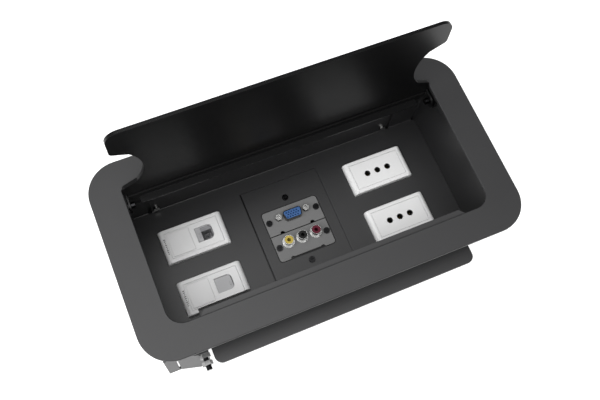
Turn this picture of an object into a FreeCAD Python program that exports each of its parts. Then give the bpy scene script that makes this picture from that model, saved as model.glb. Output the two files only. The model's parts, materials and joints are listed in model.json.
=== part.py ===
import FreeCAD, Part
import Sketcher
import os
import re

from FreeCAD import Placement, Rotation, Vector

# Countertop socket box: a lidded steel well that drops into a worktop.
# X runs along the box, Y from the user's side to the hinge, Z up.
# The origin is the centre of the top frame, on the worktop's surface.

SIZES = {
    # Top frame, the plate that lies on the worktop
    "frame_long": 300.0,
    "frame_wide": 155.0,
    "frame_thick": 2.5,
    "frame_corner": 25.0,
    "frame_bevel": 0.4,
    "opening_long": 252.0,
    "opening_wide": 109.0,
    "opening_rear_corner": 2.0,
    "opening_front_corner": 12.0,
    "seal_groove_wide": 1.2,
    "seal_groove_deep": 0.5,
    # Ledge under the closed lid's front edge
    "ledge_long": 210.0,
    "ledge_reach": 4.5,
    "ledge_drop": 0.3,
    "ledge_leg": 8.0,
    "ledge_sheet": 1.2,
    "ledge_bevel": 4.0,
    # Housing shell, a folded sheet open above and below
    "shell_long": 277.0,
    "shell_front": 56.0,
    "shell_rear": 65.0,
    "shell_deep": 112.0,
    "shell_sheet": 1.5,
    "shell_bend": 3.0,
    "overcut": 1.0,
    "side_slot_long": 10.0,
    "side_slot_high": 5.0,
    "side_slot_drop": 27.5,
    "side_slot_behind_axis": 1.7,
    # Socket panel, the folded floor of the well
    "panel_drop": 85.5,
    "panel_sheet": 1.5,
    "panel_flange": 28.0,
    "panel_bend": 1.0,
    "sheet_fit": 0.1,
    "relief_across": 111.0,
    "relief_wide": 3.0,
    "wall_screw_across": 105.0,
    "wall_screw_rise": 6.0,
    # Bottom cover
    "cover_lift": 2.0,
    "cover_sheet": 1.2,
    "cover_flange": 10.0,
    "cover_screw_spread": 35.0,
    "cover_screw_rise": 6.0,
    "cable_across": 40.0,
    "cable_hole_radius": 11.0,
    "grommet_bore": 8.0,
    "grommet_lip": 3.0,
    "grommet_lip_thick": 1.0,
    # Fasteners
    "small_screw_radius": 1.5,
    "small_head_radius": 2.65,
    "small_head_high": 1.8,
    "small_nut_high": 2.4,
    "small_nut_radius": 3.18,
    "large_screw_radius": 2.0,
    "large_head_radius": 3.8,
    "large_head_high": 2.8,
    "large_nut_high": 3.2,
    "large_nut_radius": 4.04,
    "washer_radius": 4.5,
    "washer_thick": 0.8,
    "cross_long": 3.0,
    "cross_wide": 0.6,
    "cross_deep": 0.9,
    "screw_fit": 0.05,
    "screw_end": 1.5,
    # Socket modules on the panel
    "module_across": 84.5,
    "module_spread": 23.2,
    "module_long": 55.0,
    "module_wide": 29.5,
    "module_proud": 5.0,
    "module_end_round": 4.0,
    "module_side_bevel": 0.6,
    "insert_long": 45.0,
    "insert_wide": 22.5,
    "insert_sink": 0.2,
    "insert_gap": 0.2,
    "insert_flange": 2.5,
    "insert_lip": 2.0,
    "insert_deep": 20.0,
    "cutout_gap": 0.5,
    # Power sockets
    "pin_pitch": 9.5,
    "pin_hole_radius": 2.35,
    "pin_hole_bevel": 0.5,
    "contact_wall": 0.6,
    "contact_sink": 7.3,
    "contact_long": 16.0,
    # Data sockets
    "data_skin": 2.0,
    "data_wall": 1.2,
    "label_long": 19.0,
    "label_wide": 20.5,
    "label_sink": 0.8,
    "label_thick": 1.0,
    "label_from_middle": 2.0,
    "window_start": 2.0,
    "window_long": 14.5,
    "window_wide": 13.0,
    "window_rise": 0.5,
    "window_corner": 4.0,
    "shutter_long": 16.0,
    "shutter_thick": 1.0,
    "shutter_gap": 0.2,
    "shutter_rear_open": 11.5,
    "shutter_front_open": 2.6,
    "shutter_stop": 18.3,
    "grip_across": 4.0,
    "grip_long": 1.0,
    "grip_high": 0.9,
    "grip_inset": 1.2,
    "rail_wide": 1.0,
    "rail_thick": 1.0,
    "jack_long": 15.0,
    "jack_shift": 0.3,
    "jack_deep": 16.0,
    "jack_port_long": 11.7,
    "jack_port_wide": 6.8,
    "jack_port_deep": 10.0,
    "jack_tab_long": 6.0,
    "jack_tab_wide": 2.6,
    "cutback": 3.6,
    "cutback_start": 9.5,
    # Audio and video group in the middle of the panel
    "media_long": 69.5,
    "media_offset": 0.25,
    "media_wide": 92.0,
    "media_left_gap": 1.2,
    "media_right_gap": 0.2,
    "media_end_gap": 0.3,
    "media_screw_spread": 29.6,
    "backing_long": 88.0,
    "backing_wide": 104.0,
    "backing_thick": 2.5,
    "backing_window_long": 37.0,
    "backing_window_wide": 41.0,
    "bracket_long": 50.0,
    "bracket_wide": 45.5,
    "bracket_gap": 0.6,
    "bracket_corner": 2.5,
    "bracket_split": 0.5,
    "bracket_split_gap": 0.8,
    "bracket_notch": 2.0,
    "bracket_notch_across": 13.7,
    "bracket_slot_deep": 1.2,
    "bracket_screw_across": 21.5,
    "video_screw_rise": 12.4,
    "phono_screw_drop": 10.8,
    # Fifteen-hole video connector
    "video_rise": 13.0,
    "video_wide": 17.0,
    "video_narrow": 14.0,
    "video_high": 8.4,
    "video_corner": 2.2,
    "video_proud": 5.5,
    "video_wall": 0.5,
    "video_flange_long": 31.0,
    "video_flange_wide": 12.5,
    "video_flange_thick": 1.0,
    "video_sink": 0.5,
    "video_fit": 0.05,
    "video_body_deep": 9.0,
    "video_pitch": 2.29,
    "video_row": 1.98,
    "video_hole_radius": 0.55,
    "video_hole_deep": 4.0,
    "video_stagger": 0.5,
    "jackscrew_spacing": 25.0,
    "jackscrew_rise": 14.0,
    "jackscrew_radius": 2.9,
    "jackscrew_high": 4.8,
    "jackscrew_bore": 1.4,
    "jackscrew_floor": 0.5,
    # Phono sockets
    "phono_pitch": 12.4,
    "phono_drop": 8.4,
    "phono_radius": 4.15,
    "phono_wall": 0.4,
    "phono_proud": 7.5,
    "phono_collar_radius": 5.2,
    "phono_collar_high": 1.0,
    "phono_bore": 1.6,
    "phono_bore_deep": 7.0,
    "phono_deep": 8.0,
    "phono_tail": 1.0,
    "phono_sink": 0.3,
    # Lid and hinge
    "lid_thick": 2.5,
    "lid_side_gap": 1.0,
    "lid_front_gap": 1.0,
    "lid_tail": 8.3,
    "lid_front_corner": 10.0,
    "lid_rear_corner": 8.0,
    "lid_open": 92.0,
    "notch_radius": 35.0,
    "notch_deep": 19.5,
    "notch_throat": 21.3,
    "notch_mouth": 28.0,
    "notch_corner": 4.0,
    "hinge_inset": 10.8,
    "hinge_drop": 7.3,
    "channel_sheet": 1.2,
    "channel_end": 1.5,
    "channel_ahead": 2.7,
    "channel_behind": 3.8,
    "channel_web": 6.6,
    "channel_relief": 9.5,
    "tab_radius": 6.0,
    "tab_heel": 2.8,
    "hinge_bracket_sheet": 1.5,
    "hinge_bracket_radius": 7.0,
    "hinge_bracket_foot": 11.0,
    "pivot_head_radius": 2.4,
    "pivot_head_high": 3.0,
    "pivot_play": 0.25,
    "pivot_washer_thick": 0.7,
    "pivot_washer_radius": 3.5,
    # Clamp bars that pull the frame down on the worktop
    "clamp_long": 210.0,
    "clamp_past": 8.5,
    "clamp_drop": 24.5,
    "clamp_thick": 2.0,
    "clamp_leg": 47.5,
    "clamp_corner": 6.0,
    "clamp_gap": 0.1,
    "clamp_screw_across": 80.0,
    "clamp_screw_drop": 50.0,
    "clamp_slot_wide": 4.4,
    "clamp_travel_up": 14.0,
    "clamp_travel_down": 18.0,
    # Stop brackets, folded plates that stand off the wall and carry a stop screw
    "stop_top": 26.0,
    "stop_bottom": 81.5,
    "stop_sheet": 1.5,
    "stop_outer": 140.0,
    "stop_outer_bend": 131.0,
    "stop_inner_bend": 116.0,
    "stop_inner": 107.5,
    "stop_far_reach": 12.5,
    "stop_near_reach": 16.5,
    "stop_foot_start": 118.0,
    "stop_foot_end": 133.0,
    "stop_foot_long": 20.0,
    "stop_slit_wide": 1.2,
    "stop_slit_inset": 6.0,
    "stop_screw_across": 111.0,
    "stop_screw_drop": 32.0,
    "stop_screw_gap": 2.4,
    "stop_screw_end": 3.4,
}

# Levels and lines that several pieces share
LID_HALF = "(opening_long/2 - lid_side_gap)"
HINGE_Y = "(opening_wide/2 - hinge_inset)"
LID_OUTER = "(hinge_drop + frame_thick)"
LID_INNER = f"({LID_OUTER} - lid_thick)"
SHELL_HALF = "(shell_long/2)"
WELL_MIDDLE = "((shell_rear - shell_front)/2)"
PANEL_BOTTOM = "(-panel_drop - panel_sheet)"
COVER_BOTTOM = "(-shell_deep + cover_lift)"
INSERT_TOP = "(module_proud - insert_sink)"
INSERT_SEAT = f"({INSERT_TOP} - insert_flange)"
INSERT_BODY_LONG = "(insert_long - 2*insert_lip)"
INSERT_BODY_WIDE = "(insert_wide - 2*insert_lip)"
SHUTTER_TOP = f"({INSERT_TOP} - data_skin - shutter_gap)"
JACK_TOP = f"({SHUTTER_TOP} - shutter_thick - shutter_gap)"
WALL_SCREW_Z = "(-panel_drop + wall_screw_rise)"
COVER_SCREW_Z = f"({COVER_BOTTOM} + cover_screw_rise)"
TAB_OUTER = f"({LID_HALF} - channel_end + channel_sheet)"

doc = FreeCAD.newDocument("countertop_socket_box")
sheet = doc.addObject("Spreadsheet::Sheet", "Sizes")
for row, (name, value) in enumerate(SIZES.items(), start=1):
    sheet.set(f"A{row}", name)
    sheet.set(f"B{row}", str(value))
    sheet.setAlias(f"B{row}", name)
doc.recompute()

nodes = []


def named(text):
    """Point every size named in an expression at its cell in the sheet."""
    return re.sub(r"[a-z_]\w*", lambda word: "Sizes." + word[0] if word[0] in SIZES else word[0], text)


def bind(thing, **sizes):
    for prop, text in sizes.items():
        thing.setExpression(prop, named(text))
    return thing


def place(thing, x="0", y="0", z="0"):
    for axis, text in zip("xyz", (x, y, z)):
        thing.setExpression("Placement.Base." + axis, named(text))
    return thing


def turn(thing, axis, angle):
    thing.Placement = Placement(thing.Placement.Base, Rotation(Vector(*axis), angle))
    return thing


def node(thing, label):
    """Keep a finished object as one of the part's named pieces."""
    thing.Label = label
    nodes.append(thing)
    return thing


# Solids from primitives


def box(name, x, y, z):
    """A block between a pair of expressions on each axis."""
    block = doc.addObject("Part::Box", name)
    bind(block, Length=f"({x[1]}) - ({x[0]})", Width=f"({y[1]}) - ({y[0]})", Height=f"({z[1]}) - ({z[0]})")
    return place(block, x[0], y[0], z[0])


def slab(name, long, wide, z, x="0", y="0"):
    """A block centred on x, y."""
    return box(
        name,
        (f"{x} - ({long})/2", f"{x} + ({long})/2"),
        (f"{y} - ({wide})/2", f"{y} + ({wide})/2"),
        z,
    )


def rod(name, radius, x, y, z):
    """A cylinder; the axis that gets a pair of expressions is the one it runs along."""
    turns = {0: ((0, 1, 0), 90), 1: ((1, 0, 0), -90), 2: ((0, 0, 1), 0)}
    spans = (x, y, z)
    along = next(i for i, span in enumerate(spans) if isinstance(span, tuple))
    start, end = spans[along]
    cylinder = doc.addObject("Part::Cylinder", name)
    bind(cylinder, Radius=radius, Height=f"({end}) - ({start})")
    turn(cylinder, *turns[along])
    return place(cylinder, *[start if i == along else span for i, span in enumerate(spans)])


def hexagon(name, radius, x, y, z):
    """A hexagonal prism, laid out as rod lays out a cylinder."""
    turns = {0: ((0, 1, 0), 90), 1: ((1, 0, 0), -90), 2: ((0, 0, 1), 0)}
    spans = (x, y, z)
    along = next(i for i, span in enumerate(spans) if isinstance(span, tuple))
    start, end = spans[along]
    prism = doc.addObject("Part::Prism", name)
    prism.Polygon = 6
    bind(prism, Circumradius=radius, Height=f"({end}) - ({start})")
    turn(prism, *turns[along])
    return place(prism, *[start if i == along else span for i, span in enumerate(spans)])


def fuse(name, *pieces):
    whole = doc.addObject("Part::MultiFuse", name)
    whole.Shapes = list(pieces)
    whole.Refine = True
    return whole


def cut(name, base, *tools):
    tool = tools[0] if len(tools) == 1 else fuse(name + "_tools", *tools)
    result = doc.addObject("Part::Cut", name)
    result.Base = base
    result.Tool = tool
    result.Refine = True
    return result


def group(name, *pieces):
    """Identical pieces that share a node as separate solids."""
    bundle = doc.addObject("Part::Compound", name)
    bundle.Links = list(pieces)
    return bundle


# Bodies from sketches


def body(name):
    return doc.addObject("PartDesign::Body", name)


def sketch(owner, name, plane="XY_Plane", offset="0"):
    drawing = owner.newObject("Sketcher::SketchObject", name)
    support = next(feature for feature in owner.Origin.OriginFeatures if feature.Role == plane)
    drawing.AttachmentSupport = [(support, "")]
    drawing.MapMode = "FlatFace"
    drawing.setExpression("AttachmentOffset.Base.z", named(offset))
    return drawing


def locate(drawing, geometry, point, x, y):
    """Tie a point of a sketch to the origin by two bound distances."""
    spot = drawing.getPoint(geometry, point)
    for kind, text, start in (("DistanceX", x, spot.x), ("DistanceY", y, spot.y)):
        index = drawing.addConstraint(Sketcher.Constraint(kind, -1, 1, geometry, point, start))
        drawing.setExpression(f"Constraints[{index}]", named(text))


def outline(drawing, points):
    """A closed polygon whose corners are pairs of expressions."""
    step = 360 / len(points)
    spots = [Rotation(Vector(0, 0, 1), step * i).multVec(Vector(9, 0, 0)) for i in range(len(points))]
    first = drawing.GeometryCount
    for start, end in zip(spots, spots[1:] + spots[:1]):
        drawing.addGeometry(Part.LineSegment(start, end), False)
    for i, corner in enumerate(points):
        following = first + (i + 1) % len(points)
        drawing.addConstraint(Sketcher.Constraint("Coincident", first + i, 2, following, 1))
        locate(drawing, first + i, 1, *corner)
    return drawing


def rectangle(drawing, x, y):
    return outline(drawing, [(x[0], y[0]), (x[1], y[0]), (x[1], y[1]), (x[0], y[1])])


def disc(drawing, radius, x="0", y="0"):
    circle = drawing.addGeometry(Part.Circle(Vector(), Vector(0, 0, 1), 5), False)
    locate(drawing, circle, 3, x, y)
    index = drawing.addConstraint(Sketcher.Constraint("Radius", circle, 5.0))
    drawing.setExpression(f"Constraints[{index}]", named(radius))
    return drawing


def pad(owner, drawing, length, both_ways=False):
    feature = owner.newObject("PartDesign::Pad", drawing.Name + "_pad")
    feature.Profile = drawing
    if both_ways:
        feature.SideType = "Symmetric"
    bind(feature, Length=length)
    doc.recompute()
    return feature


def pocket(owner, drawing, depth):
    """Cut down from the sketch, against its normal."""
    before = owner.Tip.Shape.Volume
    feature = owner.newObject("PartDesign::Pocket", drawing.Name + "_pocket")
    feature.Profile = drawing
    bind(feature, Length=depth)
    doc.recompute()
    if feature.Shape.Volume >= before:
        raise RuntimeError(drawing.Name + " cuts nothing")
    return feature


def dress(kind, owner, name, size, chosen):
    """Fillet or chamfer the body's edges that a test picks."""
    base = owner.Tip
    picked = [f"Edge{i}" for i, edge in enumerate(base.Shape.Edges, start=1) if chosen(edge)]
    if not picked:
        raise RuntimeError(name + " finds no edge")
    feature = owner.newObject(kind, name)
    feature.Base = (base, picked)
    bind(feature, **{"Radius" if kind.endswith("Fillet") else "Size": size})
    doc.recompute()
    return feature


def fillet(owner, name, radius, chosen):
    return dress("PartDesign::Fillet", owner, name, radius, chosen)


def chamfer(owner, name, size, chosen):
    return dress("PartDesign::Chamfer", owner, name, size, chosen)


def runs(edge, axis):
    """Whether an edge is straight and parallel to an axis, given as 0, 1 or 2."""
    if not isinstance(edge.Curve, (Part.Line, Part.LineSegment)):
        return False
    direction = edge.tangentAt(edge.FirstParameter)
    return abs(direction[axis]) > 0.999


def middle(edge):
    return edge.CenterOfMass


def at_corner(edge, across, y):
    """Whether an edge stands upright at y and at the same distance left or right of the middle."""
    spot = middle(edge)
    return runs(edge, 2) and abs(abs(spot.x) - across) < 0.01 and abs(spot.y - y) < 0.01


# Fasteners


def pan_head(name, x, y, top, length):
    """A small cross-recess screw that points down; top is where its head sits."""
    head_top = f"{top} + small_head_high"
    head = rod(name + "_head", "small_head_radius", x, y, (top, head_top))
    shank = rod(name + "_shank", "small_screw_radius", x, y, (f"{top} - ({length})", top))
    recess = (f"{head_top} - cross_deep", f"{head_top} + overcut")
    slot = slab(name + "_slot", "cross_long", "cross_wide", recess, x, y)
    bar = slab(name + "_bar", "cross_wide", "cross_long", recess, x, y)
    return cut(name, fuse(name + "_blank", head, shank), slot, bar)


def screw_hole(name, x, y, z, radius="small_screw_radius"):
    return rod(name, f"{radius} + screw_fit", x, y, z)


# Top frame and the ledge under it


def make_top_frame():
    frame = body("top_frame")
    plate = rectangle(
        sketch(frame, "frame_outline"),
        ("-frame_long/2", "frame_long/2"),
        ("-frame_wide/2", "frame_wide/2"),
    )
    pad(frame, plate, "frame_thick")
    fillet(frame, "frame_corners", "frame_corner", lambda edge: runs(edge, 2))
    opening = rectangle(
        sketch(frame, "frame_opening", offset="frame_thick"),
        ("-opening_long/2", "opening_long/2"),
        ("-opening_wide/2", "opening_wide/2"),
    )
    pocket(frame, opening, "frame_thick")
    groove = sketch(frame, "seal_groove", offset="seal_groove_deep")
    for margin in ("shell_sheet", "shell_sheet + seal_groove_wide"):
        across = (f"-({SHELL_HALF} + {margin})", f"{SHELL_HALF} + {margin}")
        rectangle(groove, across, (f"-(shell_front + {margin})", f"shell_rear + {margin}"))
    pocket(frame, groove, "seal_groove_deep")
    half_long = SIZES["opening_long"] / 2
    half_wide = SIZES["opening_wide"] / 2
    for end, y in (("rear", half_wide), ("front", -half_wide)):
        size = f"opening_{end}_corner"
        fillet(frame, size + "s", size, lambda edge: at_corner(edge, half_long, y))
    top = frame.Tip.Shape.BoundBox.ZMax
    chamfer(frame, "frame_bevels", "frame_bevel", lambda edge: edge.BoundBox.ZMin > top - 0.001)
    node(frame, "top_frame")


def make_lid_ledge():
    """A folded strip whose lip carries the closed lid's front edge."""
    ledge = body("lid_ledge")
    wall = "-shell_front"
    lip = "-opening_wide/2 + ledge_reach"
    section = outline(
        sketch(ledge, "ledge_section", "YZ_Plane"),
        [
            (wall, "-ledge_drop"),
            (lip, "-ledge_drop"),
            (lip, "-ledge_drop - ledge_sheet"),
            (f"{wall} + ledge_sheet", "-ledge_drop - ledge_sheet"),
            (f"{wall} + ledge_sheet", "-ledge_leg"),
            (wall, "-ledge_leg"),
        ],
    )
    pad(ledge, section, "ledge_long", both_ways=True)
    back = ledge.Tip.Shape.BoundBox.YMax
    chamfer(ledge, "ledge_ends", "ledge_bevel", lambda edge: runs(edge, 2) and middle(edge).y > back - 0.001)
    node(ledge, "lid_ledge")


# Housing: shell, floor panel and bottom cover


def make_housing_shell():
    shell = body("shell_body")
    plan = rectangle(
        sketch(shell, "shell_plan", offset="-shell_deep"),
        (f"-{SHELL_HALF} - shell_sheet", f"{SHELL_HALF} + shell_sheet"),
        ("-shell_front - shell_sheet", "shell_rear + shell_sheet"),
    )
    pad(shell, plan, "shell_deep")
    fillet(shell, "shell_outer_bends", "shell_bend", lambda edge: runs(edge, 2))
    well = rectangle(
        sketch(shell, "shell_well"),
        (f"-{SHELL_HALF}", SHELL_HALF),
        ("-shell_front", "shell_rear"),
    )
    pocket(shell, well, "shell_deep")
    half = SIZES["shell_long"] / 2
    corner_lines = (-SIZES["shell_front"], SIZES["shell_rear"])
    fillet(
        shell,
        "shell_inner_bends",
        "shell_bend - shell_sheet",
        lambda edge: any(at_corner(edge, half, y) for y in corner_lines),
    )
    beyond = (f"-{SHELL_HALF} - shell_bend", f"{SHELL_HALF} + shell_bend")
    slot_middle = f"{HINGE_Y} - side_slot_behind_axis"
    tools = [
        box(
            "side_slots",
            beyond,
            (f"{slot_middle} - side_slot_long/2", f"{slot_middle} + side_slot_long/2"),
            ("-side_slot_drop - side_slot_high/2", "-side_slot_drop + side_slot_high/2"),
        )
    ]
    walls = ("-shell_front - shell_bend", "shell_rear + shell_bend")
    for side in "-+":
        clamp_x = f"{side}clamp_screw_across"
        cover_y = f"{WELL_MIDDLE} {side} cover_screw_spread"
        tools.append(screw_hole("panel_hole", f"{side}wall_screw_across", walls, WALL_SCREW_Z))
        tools.append(screw_hole("clamp_hole", clamp_x, walls, "-clamp_screw_drop", "large_screw_radius"))
        tools.append(screw_hole("cover_hole", beyond, cover_y, COVER_SCREW_Z))
    node(cut("housing_shell", shell, *tools), "housing_shell")


def make_socket_panel():
    """The floor: a U-shaped fold whose flanges screw to the shell's long walls."""
    panel = body("panel_body")
    front = "-shell_front + sheet_fit"
    rear = "shell_rear - sheet_fit"
    rim = "-panel_drop + panel_flange"
    section = outline(
        sketch(panel, "panel_section", "YZ_Plane"),
        [
            (front, PANEL_BOTTOM),
            (rear, PANEL_BOTTOM),
            (rear, rim),
            (f"{rear} - panel_sheet", rim),
            (f"{rear} - panel_sheet", "-panel_drop"),
            (f"{front} + panel_sheet", "-panel_drop"),
            (f"{front} + panel_sheet", rim),
            (front, rim),
        ],
    )
    pad(panel, section, "shell_long - 2*sheet_fit", both_ways=True)
    under = panel.Tip.Shape.BoundBox.ZMin
    floor = under + SIZES["panel_sheet"]
    for name, radius, level in (
        ("panel_outer_bends", "panel_bend + panel_sheet", under),
        ("panel_inner_bends", "panel_bend", floor),
    ):
        fillet(panel, name, radius, lambda edge: runs(edge, 0) and abs(middle(edge).z - level) < 0.001)
    through = (f"{PANEL_BOTTOM} - overcut", "-panel_drop + overcut")
    across = ("-shell_front - overcut", "shell_rear + overcut")
    front_bend = ("-shell_front - overcut", f"{front} + panel_sheet + panel_bend")
    rear_bend = (f"{rear} - panel_sheet - panel_bend", "shell_rear + overcut")
    full_height = (f"{PANEL_BOTTOM} - overcut", f"{rim} + overcut")
    tools = [
        box(
            "media_cutout",
            (
                "-media_long/2 + media_offset - media_left_gap",
                "media_long/2 + media_offset + media_right_gap",
            ),
            (
                f"{WELL_MIDDLE} - media_wide/2 - media_end_gap",
                f"{WELL_MIDDLE} + media_wide/2 + media_end_gap",
            ),
            through,
        )
    ]
    for side in "-+":
        for end in "-+":
            tools.append(
                slab(
                    "module_cutout",
                    f"{INSERT_BODY_LONG} + 2*cutout_gap",
                    f"{INSERT_BODY_WIDE} + 2*cutout_gap",
                    through,
                    f"{side}module_across",
                    f"{WELL_MIDDLE} {end} module_spread",
                )
            )
        tools.append(screw_hole("flange_hole", f"{side}wall_screw_across", across, WALL_SCREW_Z))
        slit = (f"{side}relief_across - relief_wide/2", f"{side}relief_across + relief_wide/2")
        tools += [box("relief", slit, bend, full_height) for bend in (front_bend, rear_bend)]
        tools += [
            slab("panel_corner", "2*shell_bend", "2*shell_bend", full_height, f"{side}{SHELL_HALF}", wall)
            for wall in ("-shell_front", "shell_rear")
        ]
    node(cut("socket_panel", panel, *tools), "socket_panel")


def wall_screw(name, x, side):
    """side +1 is the rear wall; the head is inside the well, the shank points out."""
    z = WALL_SCREW_Z
    if side > 0:
        face = "shell_rear - sheet_fit - panel_sheet"
        head = (f"{face} - small_head_high", face)
        shank = (face, "shell_rear + shell_sheet")
    else:
        face = "-shell_front + sheet_fit + panel_sheet"
        head = (face, f"{face} + small_head_high")
        shank = ("-shell_front - shell_sheet", face)
    round_head = rod(name + "_head", "small_head_radius", x, head, z)
    return fuse(name, round_head, rod(name + "_shank", "small_screw_radius", x, shank, z))


def make_wall_screws():
    screws = [wall_screw("wall_screw", f"{side}wall_screw_across", end) for side in "-+" for end in (-1, 1)]
    node(group("wall_screws", *screws), "wall_screws")


def make_bottom_cover():
    """A shallow tray inside the shell's lower rim, with two cable entries."""
    half = f"({SHELL_HALF} - sheet_fit)"
    front = "(-shell_front + sheet_fit)"
    rear = "(shell_rear - sheet_fit)"
    top = f"{COVER_BOTTOM} + cover_flange"
    tray = box("cover_blank", (f"-{half}", half), (front, rear), (COVER_BOTTOM, top))
    hollow = box(
        "cover_hollow",
        (f"-{half} + cover_sheet", f"{half} - cover_sheet"),
        (f"{front} + cover_sheet", f"{rear} - cover_sheet"),
        (f"{COVER_BOTTOM} + cover_sheet", f"{top} + overcut"),
    )
    corners = [
        slab(
            "cover_corner",
            "2*shell_bend",
            "2*shell_bend",
            (f"{COVER_BOTTOM} - overcut", f"{top} + overcut"),
            f"{side}{half}",
            end,
        )
        for side in "-+"
        for end in (front, rear)
    ]
    through = (f"{COVER_BOTTOM} - overcut", top)
    entries = [
        rod("cable_hole", "cable_hole_radius", f"{side}cable_across", WELL_MIDDLE, through) for side in "-+"
    ]
    holes = [
        screw_hole(
            "cover_tap",
            (f"-{half} - overcut", f"{half} + overcut"),
            f"{WELL_MIDDLE} {side} cover_screw_spread",
            COVER_SCREW_Z,
        )
        for side in "-+"
    ]
    node(cut("bottom_cover", tray, hollow, *corners, *entries, *holes), "bottom_cover")


def make_cable_grommets():
    """Rubber rings whose groove holds the edge of a cable hole."""
    rings = []
    for side in "-+":
        ring = body("grommet")
        lip = "cable_hole_radius + grommet_lip"
        groove = "cable_hole_radius - sheet_fit"
        low = f"{COVER_BOTTOM} - grommet_lip_thick"
        high = f"{COVER_BOTTOM} + cover_sheet + grommet_lip_thick"
        section = outline(
            sketch(ring, "grommet_section", "XZ_Plane"),
            [
                ("grommet_bore", low),
                (lip, low),
                (lip, COVER_BOTTOM),
                (groove, COVER_BOTTOM),
                (groove, f"{COVER_BOTTOM} + cover_sheet"),
                (lip, f"{COVER_BOTTOM} + cover_sheet"),
                (lip, high),
                ("grommet_bore", high),
            ],
        )
        spin = ring.newObject("PartDesign::Revolution", "grommet_turn")
        spin.Profile = section
        spin.ReferenceAxis = (section, ["V_Axis"])
        spin.Angle = 360
        place(ring, f"{side}cable_across", WELL_MIDDLE)
        rings.append(ring)
    node(group("cable_grommets", *rings), "cable_grommets")


def make_cover_screws():
    screws = []
    outer = f"{SHELL_HALF} + shell_sheet"
    for spread in "-+":
        y = f"{WELL_MIDDLE} {spread} cover_screw_spread"
        right_head = (outer, f"{outer} + small_head_high")
        right_shank = (f"{SHELL_HALF} - sheet_fit - cover_sheet - screw_end", outer)
        left_head = (f"-({outer} + small_head_high)", f"-({outer})")
        left_shank = (f"-({outer})", f"-({SHELL_HALF} - sheet_fit - cover_sheet - screw_end)")
        for head, shank in ((right_head, right_shank), (left_head, left_shank)):
            screws.append(
                fuse(
                    "cover_screw",
                    rod("cover_screw_head", "small_head_radius", head, y, COVER_SCREW_Z),
                    rod("cover_screw_shank", "small_screw_radius", shank, y, COVER_SCREW_Z),
                )
            )
    node(group("cover_screws", *screws), "cover_screws")


# Socket modules: a frame on the panel and an insert that drops into it


def module_frame(name, cut_back=False):
    """The white surround, round-shouldered at its short ends, with a ledge for the insert."""
    frame = body(name + "_body")
    plan = rectangle(
        sketch(frame, name + "_plan"),
        ("-module_long/2", "module_long/2"),
        ("-module_wide/2", "module_wide/2"),
    )
    pad(frame, plan, "module_proud")
    top = frame.Tip.Shape.BoundBox.ZMax - 0.001
    fillet(frame, name + "_ends", "module_end_round", lambda edge: runs(edge, 1) and middle(edge).z > top)
    chamfer(frame, name + "_sides", "module_side_bevel", lambda edge: runs(edge, 0) and middle(edge).z > top)
    seat_window = slab(
        name + "_seat_window",
        "insert_long + 2*insert_gap",
        "insert_wide + 2*insert_gap",
        (INSERT_SEAT, "module_proud + overcut"),
    )
    body_window = slab(
        name + "_body_window",
        f"{INSERT_BODY_LONG} + 2*insert_gap",
        f"{INSERT_BODY_WIDE} + 2*insert_gap",
        ("-overcut", "module_proud"),
    )
    tools = [seat_window, body_window]
    if cut_back:
        tools.append(
            box(
                name + "_cutback",
                ("-module_long/2 + cutback_start", "module_long/2 + overcut"),
                ("-module_wide/2 - overcut", "-module_wide/2 + cutback"),
                ("-overcut", "module_proud + overcut"),
            )
        )
    return cut(name, frame, *tools)


def insert_blank(name):
    """A module insert's flange and the body below it."""
    flange = slab(name + "_flange", "insert_long", "insert_wide", (INSERT_SEAT, INSERT_TOP))
    stem = slab(name + "_stem", INSERT_BODY_LONG, INSERT_BODY_WIDE, ("-insert_deep", INSERT_SEAT))
    return fuse(name + "_blank", flange, stem)


PIN_PLACES = ("-pin_pitch", "0", "pin_pitch")
CONTACT_RADIUS = "(pin_hole_radius + contact_wall)"
CONTACT_TOP = f"({INSERT_TOP} - contact_sink)"


def power_insert(name):
    """Three round pin holes in line, each widened below for its contact sleeve."""
    tools = []
    for x in PIN_PLACES:
        throat = (f"{CONTACT_TOP} - overcut", "module_proud")
        seat = ("-insert_deep - overcut", CONTACT_TOP)
        tools.append(rod(name + "_hole", "pin_hole_radius", x, "0", throat))
        tools.append(rod(name + "_seat", f"{CONTACT_RADIUS} + screw_fit", x, "0", seat))
        rim = doc.addObject("Part::Cone", name + "_rim")
        bind(
            rim,
            Radius1="pin_hole_radius",
            Radius2="pin_hole_radius + 2*pin_hole_bevel",
            Height="2*pin_hole_bevel",
        )
        tools.append(place(rim, x, "0", f"{INSERT_TOP} - pin_hole_bevel"))
    return cut(name, insert_blank(name), *tools)


def power_contacts(name):
    sleeves = []
    for x in PIN_PLACES:
        span = (f"{CONTACT_TOP} - contact_long", CONTACT_TOP)
        outer = rod(name + "_outer", CONTACT_RADIUS, x, "0", span)
        through = (f"{span[0]} - overcut", f"{span[1]} + overcut")
        bore = rod(name + "_bore", "pin_hole_radius", x, "0", through)
        sleeves.append(cut(name + "_sleeve", outer, bore))
    return group(name, *sleeves)


WINDOW_X = ("window_start", "window_start + window_long")
WINDOW_Y = ("window_rise - window_wide/2", "window_rise + window_wide/2")
JACK_MIDDLE = "(window_start + window_long/2 + jack_shift)"
TRACK_BOTTOM = f"({SHUTTER_TOP} - shutter_thick - rail_thick)"


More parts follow.
